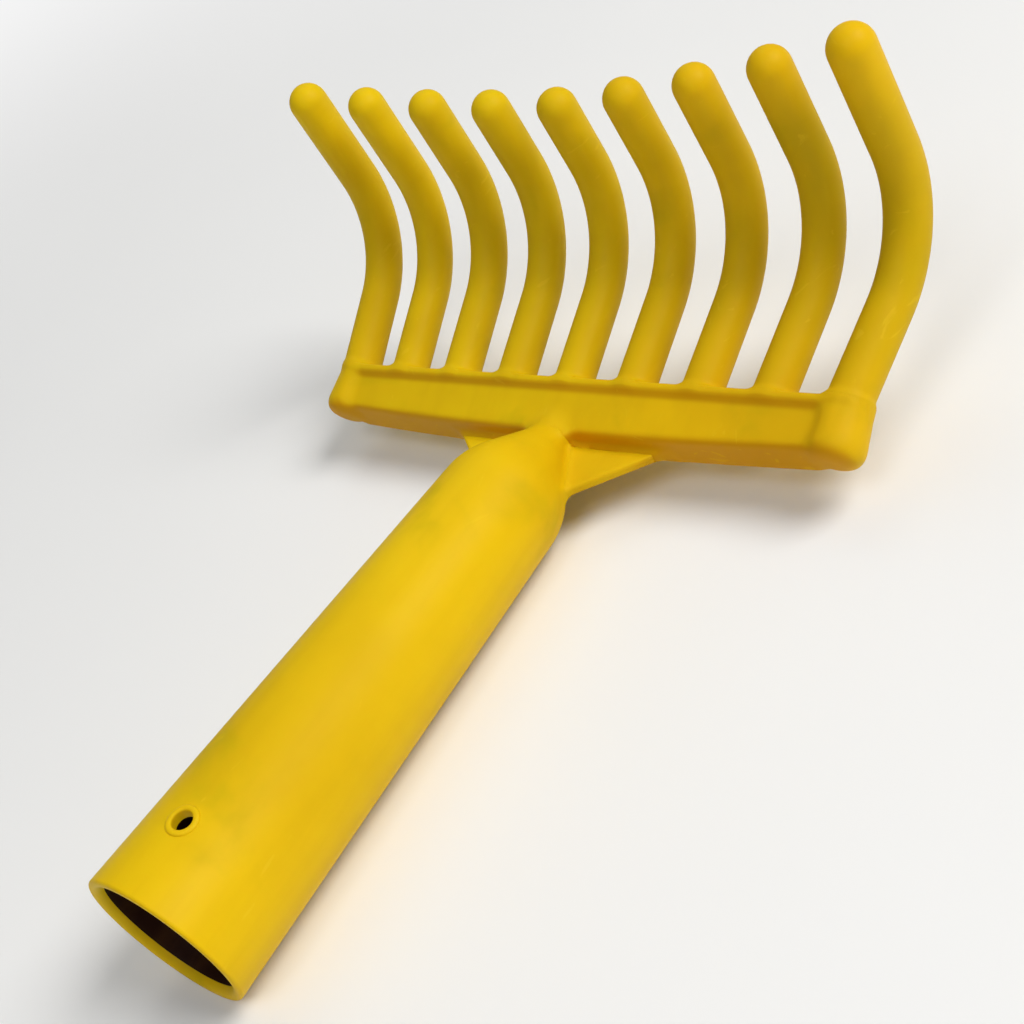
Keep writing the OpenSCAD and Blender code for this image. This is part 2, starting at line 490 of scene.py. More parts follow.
@dataclass(frozen=True)
class Tine(Piece):
    """One curved tine: a straight root, a bend and a straight tip with a ball end."""

    number: int
    head: HeadFrame
    pitch: float = 18.7
    middle: int = 5
    inner_r: float = 4.76
    outer_r: float = 5.06
    root: float = 21.5
    bend_r: float = 28.5
    bend: float = math.radians(71.0)
    tip: float = 15.8
    tip_extra: float = 8.5
    tip_ease: float = 1.5
    splay: float = math.radians(8.0)
    lean: float = math.radians(3.4)
    sink: float = 3.0
    level_reach: float = 9.0
    stub: float = 1.7
    stub_share: float = 0.94
    ring: int = 48
    root_rings: int = 16
    root_ease: float = 1.8
    spacing: float = 1.3
    cap_rings: int = 9
    cap_turn: float = math.radians(84.0)

    @property
    def node(self) -> str:
        """Name of the node that the tine replaces."""
        return f"tine_{self.number}"

    @property
    def place(self) -> float:
        """Place along the bar, from -1 at the left end to 1 at the right end."""
        return (self.number - self.middle) / (self.middle - 1)

    @property
    def foot(self) -> Points:
        """Middle of the root, in the bar's frame."""
        return np.array([(self.number - self.middle) * self.pitch, 0.0, 0.0])

    @property
    def r(self) -> float:
        """Radius of the tine."""
        return self.outer_r if abs(self.place) == 1.0 else self.inner_r

    @property
    def tip_length(self) -> float:
        """Straight length past the bend, more towards the ends of the bar."""
        return self.tip + self.tip_extra * abs(self.place) ** self.tip_ease

    def turned(self, v: Points) -> Points:
        """Turn directions from the tine's own frame to the bar's."""
        return spin(spin(v, Axis.Y, -self.lean * self.place), Axis.Z, -self.splay * self.place)

    def local(self, h: Points) -> Points:
        """Turn points from the bar's frame to the tine's own."""
        return spin(spin(h - self.foot, Axis.Z, self.splay * self.place), Axis.Y, self.lean * self.place)

    def field(self, h: Points) -> Points:
        """Signed distance to the tine.

        Args:
            h: Points in the bar's frame.

        Returns:
            Signed distances, negative inside.
        """
        q = self.local(h)
        x, y, z = q[..., 0], q[..., 1], q[..., 2]
        root = np.hypot(y - np.clip(y, -self.sink, self.root), z)
        y, z = y - self.root, z - self.bend_r
        angle = np.clip(np.arctan2(y, -z), 0.0, self.bend)
        arc = np.hypot(y - self.bend_r * np.sin(angle), z + self.bend_r * np.cos(angle))
        c, s = math.cos(self.bend), math.sin(self.bend)
        y, z = y - self.bend_r * s, z + self.bend_r * c
        along = np.clip(y * c + z * s, 0.0, self.tip_length)
        tip = np.hypot(y - along * c, z - along * s)
        return np.hypot(x, np.minimum(np.minimum(root, arc), tip)) - self.r

    def spine(self, s: float) -> tuple[Points, float]:
        """Find a point on the centre line.

        Args:
            s: Length from the bar along the centre line.

        Returns:
            The point in the tine's own frame, and how far the tine has turned there.
        """
        if s <= self.root:
            return np.array([0.0, s, 0.0]), 0.0
        turn = min((s - self.root) / self.bend_r, self.bend)
        y = self.root + self.bend_r * math.sin(turn)
        z = self.bend_r * (1.0 - math.cos(turn))
        rest = max(s - self.root - self.bend_r * self.bend, 0.0)
        return np.array([0.0, y + rest * math.cos(turn), z + rest * math.sin(turn)]), turn

    def frame_at(self, s: float, low: float) -> tuple[Points, Points, Points]:
        """Centre, direction and ray directions of one ring, in the bar's frame.

        Args:
            s: Length from the bar along the centre line.
            low: Share, from 0 to 1, by which the ring is level with the bar.

        Returns:
            The centre, the tine's direction and the rays.
        """
        point, turn = self.spine(s)
        ahead = self.turned(np.array([0.0, math.cos(turn), math.sin(turn)]))
        across = self.turned(np.array([1.0, 0.0, 0.0]))
        out = self.turned(np.array([0.0, -math.sin(turn), math.cos(turn)]))
        normal = unit((1.0 - low) * ahead + low * np.array([0.0, 1.0, 0.0]))
        angle = np.linspace(0.0, 2.0 * math.pi, self.ring, endpoint=False)[:, None]
        ray = np.cos(angle) * across + np.sin(angle) * out
        ray = unit(ray - (ray @ normal)[:, None] * normal)
        return self.turned(point) + self.foot, ahead, ray

    def build(self, moulding: "Moulding") -> bpy.types.Object:
        """Loft the tine out of the moulding, from its fillet on the bar to its ball end.

        Args:
            moulding: The blended surface of the whole head.

        Returns:
            The tine's object.
        """
        straight = self.root + self.bend_r * self.bend + self.tip_length
        near = moulding.bar.seam + self.level_reach * np.linspace(0.0, 1.0, self.root_rings) ** self.root_ease
        far = np.linspace(near[-1], straight, int((straight - near[-1]) / self.spacing))[1:]
        starts, rays = [], []
        for s in np.concatenate([near, far]):
            centre, _, ray = self.frame_at(float(s), 1.0 - float(smooth_step(s / self.level_reach)))
            starts.append(np.tile(centre, (self.ring, 1)))
            rays.append(ray)

        def inside(h: Points) -> Points:
            """Distance to this tine and the bar, in the bar's frame."""
            return moulding.rooted(moulding.bar.field(h), self, h)

        hit = cast(inside, np.array(starts), np.array(rays))
        sunk = starts[0] + (hit[0] - starts[0]) * self.stub_share - np.array([0.0, self.stub, 0.0])
        end, ahead, ray = self.frame_at(straight, 0.0)
        ball = [end + self.r * (math.sin(a) * ahead + math.cos(a) * ray)
                for a in np.linspace(0.0, self.cap_turn, self.cap_rings + 1)[1:]]
        maker = MeshMaker(f"rake_tine_{self.number}")
        maker.loft(self.head.to_part(np.array([sunk, *hit, *ball])))
        return maker.make(moulding.crease)


@dataclass(frozen=True)
class PoleSocket(Piece):
    """Tapered tube for the pole, with a round shoulder, a neck to the bar and a screw hole."""

    length: float = 125.0
    mouth_r: float = 18.6
    heel_r: float = 14.7
    bore_r: float = mount("pole_socket")["dims"]["r_mm"]
    bore_len: float = mount("pole_socket")["dims"]["length_mm"]
    taper_r: float = 12.2
    bore_depth: float = 112.0
    bore_cone: float = 6.0
    cone_share: float = 0.4
    neck_r: float = 2.6
    neck_len: float = 21.5
    neck_edge: float = 1.0
    shoulder: float = 2.4
    lip: float = 0.8
    lead_in: float = 1.6
    lead_depth: float = 2.2
    screw_r: float = mount("fixing_screw")["dims"]["r_mm"]
    screw_y: float = mount("fixing_screw")["pos_m"][1] / MM
    screw_turn: float = math.atan2(mount("fixing_screw")["axis"][0], mount("fixing_screw")["axis"][2])
    rim_w: float = 1.4
    rim_h: float = 0.5
    hole_flare: float = 0.5
    hole_steps: Pair = (0.35, 0.7)
    patch_half: float = 6.0
    patch_cells: int = 16
    slack: float = 0.001
    ring: int = 144
    cone_rows: int = 6
    mouth_rows: int = 9
    bore_rows: int = 34
    tube_rows: int = 46
    lead_rows: int = 9
    lip_rows: int = 6
    fan_rows: int = 5
    rim_rows: int = 13
    back_rows: int = 4
    neck_start: float = 108.0
    neck_stations: int = 76
    neck_ease: float = 1.4

    @property
    def node(self) -> str:
        """Name of the node that the socket replaces."""
        return "socket"

    @property
    def taper(self) -> float:
        """How much thinner the tube gets per length."""
        return (self.mouth_r - self.heel_r) / self.length

    def field(self, p: Points) -> Points:
        """Signed distance to the outside of the socket.

        Args:
            p: Points in the part's frame.

        Returns:
            Signed distances, negative inside.
        """
        y, rho = p[..., 1], np.hypot(p[..., 0], p[..., 2])
        narrow = (self.heel_r - self.neck_r) / self.neck_len
        side = (rho - self.wall(y)) / math.hypot(1.0, self.taper)
        nose = (rho - self.heel_r + narrow * (y - self.length)) / math.hypot(1.0, narrow)
        shape = smooth_max(side, nose, self.shoulder)
        shape = smooth_max(shape, y - self.length - self.neck_len, self.neck_edge)
        return np.maximum(shape, -y)

    def wall(self, y: Points) -> Points:
        """Outside radius of the tube at a distance from the mouth."""
        return self.mouth_r - self.taper * y

    def bore(self, y: Points) -> Points:
        """Inside radius of the tube at a distance from the mouth."""
        share = np.clip((y - self.bore_len) / (self.bore_depth - self.bore_len), 0.0, 1.0)
        return self.bore_r - (self.bore_r - self.taper_r) * share

    def angles(self) -> Points:
        """Places round the tube, counted so that a quarter of the way round lies the screw hole."""
        return np.linspace(0.0, 2.0 * math.pi, self.ring, endpoint=False) - self.screw_turn

    def circle(self, y: float, rho: float) -> Points:
        """Ring of points round the axis, at a distance from the mouth and with a radius."""
        angle = self.angles()
        return np.stack([rho * np.cos(angle), np.full(self.ring, y), rho * np.sin(angle)], axis=-1)

    def by_screw(self, y: float) -> bool:
        """Whether a ring at a distance from the mouth meets the screw hole's window."""
        return abs(y - self.screw_y) <= self.patch_half + self.slack

    def rows(self, first: float, last: float, count: int) -> Points:
        """Distances from the mouth of a wall's rings, which fit the screw hole's window.

        Args:
            first: The first ring.
            last: The last ring.
            count: Rings from the far edge of the window to the last one.

        Returns:
            The distances.
        """
        patch = self.screw_y + np.linspace(-self.patch_half, self.patch_half, self.patch_cells + 1)
        near, far = np.linspace(first, patch[0], self.mouth_rows), np.linspace(patch[-1], last, count)
        return np.concatenate([near[:-1], patch, far[1:]])

    def profile(self) -> list[tuple[float, float, Layer]]:
        """Walk along the tube's section, from the end of the bore out round the lip and back to the shoulder.

        Returns:
            The distance from the mouth, the radius and the finish of each ring.
        """
        end_r = self.taper_r * self.cone_share
        spots = []
        for t in np.linspace(0.0, 1.0, self.cone_rows)[:-1]:
            rho = end_r + (self.taper_r - end_r) * t
            spots.append((self.bore_depth + self.bore_cone * (1.0 - t), rho, Layer.BORE))
        for y in self.rows(self.lead_depth, self.bore_depth, self.bore_rows)[::-1]:
            spots.append((y, self.bore(y), Layer.BORE))
        for a in np.linspace(0.0, math.pi / 2, self.lead_rows)[1:]:
            rho = self.bore_r + self.lead_in * (1.0 - math.cos(a))
            spots.append((self.lead_depth * (1.0 - math.sin(a)), rho, Layer.OUTSIDE))
        for a in np.linspace(math.pi / 2, 0.0, self.lip_rows)[:-1]:
            rho = self.mouth_r - self.lip * (1.0 - math.cos(a))
            spots.append((self.lip * (1.0 - math.sin(a)), rho, Layer.OUTSIDE))
        for y in self.rows(self.lip, self.neck_start, self.tube_rows):
            spots.append((y, self.wall(y), Layer.OUTSIDE))
        return spots

    def neck_rings(self, moulding: "Moulding") -> list[Points]:
        """Rings of the shoulder and the neck, which turn level with the bar's lower face.

        Args:
            moulding: The blended surface of the whole head.

        Returns:
            The rings, from the tube to the bar.
        """
        bar = moulding.bar
        tilt = bar.head.angle - bar.tilt
        face = bar.head.to_part(np.array([0.0, -bar.deep, bar.thickness / 2]))
        end = face[1] + face[2] * math.tan(tilt)
        angle = self.angles()[:, None]
        flat = np.cos(angle) * np.array([1.0, 0.0, 0.0]) + np.sin(angle) * np.array([0.0, 0.0, 1.0])
        left = 1.0 - np.linspace(0.0, 1.0, self.neck_stations + 1)[1:]
        starts, rays = [], []
        for t in 1.0 - left ** self.neck_ease:
            starts.append(np.tile([0.0, self.neck_start + (end - self.neck_start) * t, 0.0], (self.ring, 1)))
            rays.append(spin(flat, Axis.X, tilt * t))

        def inside(p: Points) -> Points:
            """Distance to the socket's share of the moulding.

            Args:
                p: Points in the part's frame.

            Returns:
                Signed distances, negative inside.
            """
            share = moulding.share(moulding.field(p, []), -moulding.past_bar(bar.head.to_head(p)))
            for web in moulding.webs:
                share = moulding.share(share, web.parting(p))
            return share

        return list(cast(inside, np.array(starts), np.array(rays)))

    def build(self, moulding: "Moulding") -> bpy.types.Object:
        """Skin the socket from the end of its bore, out round the lip and back to the bar.

        Args:
            moulding: The blended surface of the whole head.

        Returns:
            The socket's object.
        """
        maker = MeshMaker("pole_socket")
        neck = self.neck_rings(moulding)
        rows: list[Row] = [(maker.add(self.circle(y, rho)), layer, y) for y, rho, layer in self.profile()]
        rows += [(maker.add(ring), Layer.OUTSIDE, self.length) for ring in neck]
        quarter, half_cells = self.ring // 4, self.patch_cells // 2
        window = range(quarter - half_cells, quarter + half_cells)
        for (low, layer, y0), (high, _, y1) in zip(rows, rows[1:]):
            maker.band(low, high, layer, window if self.by_screw(y0) and self.by_screw(y1) else ())
        maker.cap(rows[0][0][::-1], np.array([0.0, self.bore_depth + self.bore_cone, 0.0]), Layer.BORE)
        maker.cap(rows[-1][0], neck[-1].mean(axis=0))
        self.screw_hole(maker, rows, window)
        return maker.make(moulding.crease)

    def window_edge(self, rows: Sequence[Row], layer: Layer, window: range) -> np.ndarray:
        """Vertices round the window that the screw hole takes in a wall.

        Args:
            rows: Rings of the tube.
            layer: The wall, by its finish.
            window: Places along the ring that stay open.

        Returns:
            Vertex numbers round the window, from its corner at the mouth.
        """
        near = [row for row in rows if row[1] is layer and self.by_screw(row[2])]
        near.sort(key=lambda row: row[2])
        block = np.array([ring[window.start:window.stop + 1] for ring, _, _ in near])
        return np.concatenate([block[0, :-1], block[:-1, -1], block[-1, :0:-1], block[:0:-1, 0]])

    def screw_hole(self, maker: MeshMaker, rows: Sequence[Row], window: range) -> None:
        """Fill the windows in both walls with a raised rim and the wall of the screw hole.

        Args:
            maker: The socket's mesh.
            rows: Rings of the tube.
            window: Places along the ring that stay open.
        """
        known = spin(np.vstack(maker.points), Axis.Y, -self.screw_turn)
        edges = {layer: self.window_edge(rows, layer, window) for layer in Layer}
        flat = {layer: known[edge][:, :2] - np.array([0.0, self.screw_y]) for layer, edge in edges.items()}
        aim = unit(flat[Layer.OUTSIDE])

        def lift(layer: Layer, spot: Points, rise: float = 0.0) -> Points:
            """Put flat places on a wall.

            Args:
                layer: The wall, by its finish.
                spot: Places round the hole's axis.
                rise: How far they are raised.

            Returns:
                Points in the part's frame.
            """
            y = spot[:, 1] + self.screw_y
            wall = self.wall(y) if layer is Layer.OUTSIDE else self.bore(y)
            spot = np.column_stack([spot[:, 0], y, np.sqrt(wall ** 2 - spot[:, 0] ** 2) + rise])
            return spin(spot, Axis.Y, self.screw_turn)

        def fan(layer: Layer, reach: float, flare: float, count: int) -> list[Points]:
            """Rings in a wall, from the window's edge to a circle.

            Args:
                layer: The wall, by its finish.
                reach: Radius of the circle.
                flare: How much wider the circle starts.
                count: Rings, with the window's edge.

            Returns:
                The rings after the edge.
            """
            return [lift(layer, flat[layer] * (1.0 - t) + aim * (reach + flare * (1.0 - t)) * t)
                    for t in np.linspace(0.0, 1.0, count)[1:]]

        front = fan(Layer.OUTSIDE, self.screw_r + self.rim_w, 0.0, self.fan_rows)
        for a in np.linspace(0.0, math.pi, self.rim_rows)[1:]:
            reach = self.screw_r + self.rim_w * (1.0 + math.cos(a)) / 2
            front.append(lift(Layer.OUTSIDE, aim * reach, self.rim_h * math.sin(a)))
        back = fan(Layer.BORE, self.screw_r, self.hole_flare, self.back_rows)
        wall = [front[-1] * (1.0 - t) + back[-1] * t for t in (*self.hole_steps, 1.0)]
        last = maker.extend(edges[Layer.OUTSIDE], [*front, *wall])
        last = maker.extend(last, back[-2::-1], Layer.BORE)
        maker.band(last, edges[Layer.BORE], Layer.BORE)


@dataclass(frozen=True)
class Web(Piece):
    """Flat triangular web between one side of the socket and the lower edge of the bar."""

    side: Side
    top: float = -1.4
    thickness: float = 2.4
    start: Pair = (11.6, 127.8)
    end: Pair = (32.4, 144.6)
    inner_x: float = 3.0
    upper_y: float = 147.0
    edge: float = 0.9
    foot: Pair = (13.1, 129.1)
    crown: Pair = (6.03, 142.8)
    corner: Pair = (29.75, 142.62)
    rise: float = 1.8
    overlap: float = 0.008
    reach: float = 0.985
    end_rays: int = 26
    face_rays: int = 46
    station_count: int = 46

    @property
    def node(self) -> str:
        """Name of the node that the web replaces."""
        return f"gusset_{self.side.name.lower()}"

    @property
    def level(self) -> float:
        """Height of the web's mid-plane."""
        return self.top - self.thickness / 2

    def field(self, p: Points) -> Points:
        """Signed distance to the web.

        Args:
            p: Points in the part's frame.

        Returns:
            Signed distances, negative inside.
        """
        x, y, z = p[..., 0] * self.side.value, p[..., 1], p[..., 2]
        outer = past_line(x, y, self.start, self.end)
        shape = smooth_max(np.abs(z - self.level) - self.thickness / 2, outer, self.edge)
        shape = smooth_max(shape, self.start[1] - y, self.edge)
        return np.maximum(np.maximum(shape, self.inner_x - x), y - self.upper_y)

    def parting(self, p: Points) -> Points:
        """Distance from the line where the web meets the socket, positive on the web."""
        return past_line(p[..., 0] * self.side.value, p[..., 1], self.foot, self.crown)

    def rim(self) -> Points:
        """Walk round a flat box.

        Returns:
            Places on the box, as shares of its half length and half height.
        """
        up = np.linspace(-1.0, 1.0, self.end_rays, endpoint=False)
        back = np.linspace(1.0, -1.0, self.face_rays, endpoint=False)
        end, face = np.column_stack([np.ones_like(up), up]), np.column_stack([back, np.ones_like(back)])
        return np.concatenate([end, face, -end, -face])

    def build(self, moulding: "Moulding") -> bpy.types.Object:
        """Loft the web out of the moulding, from the socket to its corner under the bar.

        Args:
            moulding: The blended surface of the whole head.

        Returns:
            The web's object.
        """
        foot, crown, corner = (np.array(v) for v in (self.foot, self.crown, self.corner))
        rim = self.rim()
        height = rim[:, 1] * (self.thickness / 2 + self.rise)
        starts, rays = [], []
        for t in (-self.overlap, *np.linspace(0.0, self.reach, self.station_count)):
            low, high = foot + (corner - foot) * t, crown + (corner - crown) * t
            centre, along = (low + high) / 2, (high - low) / 2
            spread = np.outer(rim[:, 0], along)
            starts.append(np.tile([centre[0] * self.side.value, centre[1], self.level], (len(rim), 1)))
            rays.append(unit(np.column_stack([spread[:, 0] * self.side.value, spread[:, 1], height])))

        def inside(p: Points) -> Points:
            """Distance to the web's share of the moulding."""
            share = moulding.share(moulding.field(p, []), -self.parting(p))
            return moulding.share(share, -moulding.past_bar(moulding.bar.head.to_head(p)))

        maker = MeshMaker(f"web_{self.side.name.lower()}")
        maker.loft(cast(inside, np.array(starts), np.array(rays)))
        return maker.make(moulding.crease)


@dataclass
class Moulding:
    """The whole head as one blended surface."""

    bar: CrossBar
    socket: PoleSocket
    webs: list[Web]
    tines: list[Tine]
    root_blend: float = 1.7
    root_depth: float = 1.0
    neck_blend: float = 4.6
    web_blend: float = 2.4
    apron: float = 1.4
    apron_from: float = 4.0
    apron_run: float = 2.5
    lap: float = 0.25
    dive: float = 0.6
    crease: float = 42.0

    def rooted(self, shape: Points, tine: Tine, h: Points) -> Points:
        """Join a tine to a shape, both as distances in the bar's frame, with a fillet at its root."""
        return smooth_min(shape, np.maximum(tine.field(h), -h[..., 1] - self.root_depth), self.root_blend)

    def past_bar(self, h: Points) -> Points:
        """Distance past the parting under the bar, which keeps an apron of the fillets at the webs."""
        apron = self.apron * smooth_step((np.abs(h[..., 0]) - self.apron_from) / self.apron_run)
        return self.bar.below(h, LowerFace.MIDDLE) - apron

    def share(self, shape: Points, past: Points) -> Points:
        """Keep one piece's share of a shape: past its parting it dives under its neighbour and stops."""
        return np.maximum(shape + self.dive * np.maximum(past, 0.0), past - self.lap)

    def field(self, p: Points, tines: Sequence[Tine]) -> Points:
        """Signed distance to the head.

        Args:
            p: Points in the part's frame.
            tines: The tines that are close enough to matter.

        Returns:
            Signed distances, negative inside.
        """
        h = self.bar.head.to_head(p)
        shape = self.bar.field(h)
        for tine in tines:
            shape = self.rooted(shape, tine, h)
        shape = smooth_min(shape, self.socket.field(p), self.neck_blend)
        for web in self.webs:
            shape = smooth_min(shape, web.field(p), self.web_blend)
        return shape


@dataclass(frozen=True)
class Tint:
    """A colour that lies over others, and how much of it shows where it is strongest."""

    colour: Colour
    share: float


@dataclass(frozen=True)
class Pattern:
    """Cloudy pattern: size of its blobs, layers of finer ones, span where it rises, stretch and stir."""

    size: float
    detail: float
    span: Pair | None = None
    stretch: Triple = (1.0, 1.0, 1.0)
    bend: float = 0.0


class Value:
    """A number on a shader socket, with arithmetic that adds Math nodes."""

    def __init__(self, graph: "Graph", socket: bpy.types.NodeSocket) -> None:
        """Wrap one output socket of a graph."""
        self.graph = graph
        self.socket = socket

    def _math(self, operation: str, a: object, b: object) -> "Value":
        """Add a Math node for an operation on two numbers or values."""
        return self.graph.value("ShaderNodeMath", {"operation": operation}, {0: a, 1: b})

    def __add__(self, other: object) -> "Value":
        """Add a number or value."""
        return self._math("ADD", self, other)

    __radd__ = __add__

    def __sub__(self, other: object) -> "Value":
        """Take away a number or value."""
        return self._math("SUBTRACT", self, other)

    def __rsub__(self, other: object) -> "Value":
        """Take this value away from a number."""
        return self._math("SUBTRACT", other, self)

    def __mul__(self, other: object) -> "Value":
        """Multiply by a number or value."""
        return self._math("MULTIPLY", self, other)

    __rmul__ = __mul__

    def __neg__(self) -> "Value":
        """Change the sign."""
        return 0.0 - self

    def clamp(self) -> "Value":
        """Keep the value between 0 and 1."""
        return self.graph.value("ShaderNodeClamp", {}, {"Value": self})

    def least(self, low: float) -> "Value":
        """Squeeze a value between 0 and 1 into what lies between low and 1."""
        return low + (1.0 - low) * self

    def between(self, span: Pair, scale: float = 1.0) -> "Value":
        """Ease from 0 at one value to 1 at another.

        Args:
            span: Where the result is 0, and where it is 1.
            scale: Size of the span's unit.

        Returns:
            The eased value.
        """
        sockets = {"Value": self, "From Min": span[0] * scale, "From Max": span[1] * scale}
        return self.graph.value("ShaderNodeMapRange", {"interpolation_type": "SMOOTHSTEP"}, sockets)


class Graph:
    """The node tree of one material or world, with a short way to add nodes."""

    def __init__(self, owner: bpy.types.Material | bpy.types.World) -> None:
        """Start an empty node tree.

        Args:
            owner: The new material or world that the tree belongs to.
        """
        owner.use_nodes = True
        self.owner = owner
        self.tree = owner.node_tree
        self.tree.nodes.clear()

    def node(self, kind: str, settings: dict, sockets: dict) -> bpy.types.Node:
        """Add a node.

        Args:
            kind: The node's type.
            settings: Its properties, set first.
            sockets: Numbers, colours or links for its input sockets.

        Returns:
            The node.
        """
        made = self.tree.nodes.new(kind)
        for key, value in settings.items():
            setattr(made, key, value)
        for key, value in sockets.items():
            entry = made.inputs[key]
            link = value.socket if isinstance(value, Value) else value
            if isinstance(link, bpy.types.NodeSocket):
                self.tree.links.new(link, entry)
            else:
                entry.default_value = link
        return made

    def value(self, kind: str, settings: dict, sockets: dict, output: int | str = 0) -> Value:
        """Add a node and wrap one of its outputs, by name or number."""
        return Value(self, self.node(kind, settings, sockets).outputs[output])

    def coordinates(self, kind: str = "Object") -> bpy.types.NodeSocket:
        """Coordinates on the object, by the name of a Texture Coordinate node's output."""
        return self.node("ShaderNodeTexCoord", {}, {}).outputs[kind]

    def along(self, axis: int, kind: str = "Object") -> Value:
        """One axis, 0 to 2 for X to Z, of the coordinates of that kind."""
        return self.value("ShaderNodeSeparateXYZ", {}, {"Vector": self.coordinates(kind)}, axis)

    def noise(self, pattern: Pattern) -> Value:
        """Cloudy pattern.

        Args:
            pattern: Its size, detail and span.

        Returns:
            A value from 0 to 1, or one about NOISE_MIDDLE where the pattern has no span.
        """
        stretched = {"Vector": self.coordinates(), "Scale": pattern.stretch}
        sockets = {"Vector": self.node("ShaderNodeMapping", {}, stretched).outputs["Vector"],
                   "Scale": 1.0 / (pattern.size * MM), "Detail": pattern.detail, "Distortion": pattern.bend}
        made = self.value("ShaderNodeTexNoise", {}, sockets)
        return made.between(pattern.span) if pattern.span else made

    def mix(self, share: Value, first: object, second: object) -> bpy.types.NodeSocket:
        """Blend two colours.

        Args:
            share: 0 for the first colour, 1 for the second.
            first: A colour or its socket.
            second: A colour or its socket.

        Returns:
            The blended colour's socket.
        """
        colours = {MIX_FIRST: first, MIX_SECOND: second}
        for key, colour in colours.items():
            if isinstance(colour, tuple):
                colours[key] = (*colour, 1.0)
        sockets = {MIX_SHARE: share, **colours}
        return self.node("ShaderNodeMix", {"data_type": "RGBA"}, sockets).outputs[MIX_COLOUR]

    def bump(self, height: Value, strength: float, depth: float) -> bpy.types.NodeSocket:
        """Normals of a relief with a strength and a depth in millimetres."""
        sockets = {"Strength": strength, "Distance": depth * MM, "Height": height}
        return self.node("ShaderNodeBump", {}, sockets).outputs["Normal"]

    def finish(self, shader: bpy.types.Node) -> bpy.types.Material | bpy.types.World:
        """Send a shader to the tree's output.

        Args:
            shader: The last shader node.

        Returns:
            The material or world.
        """
        kind = "World" if isinstance(self.owner, bpy.types.World) else "Material"
        self.node(f"ShaderNodeOutput{kind}", {}, {"Surface": shader.outputs[0]})
        return self.owner


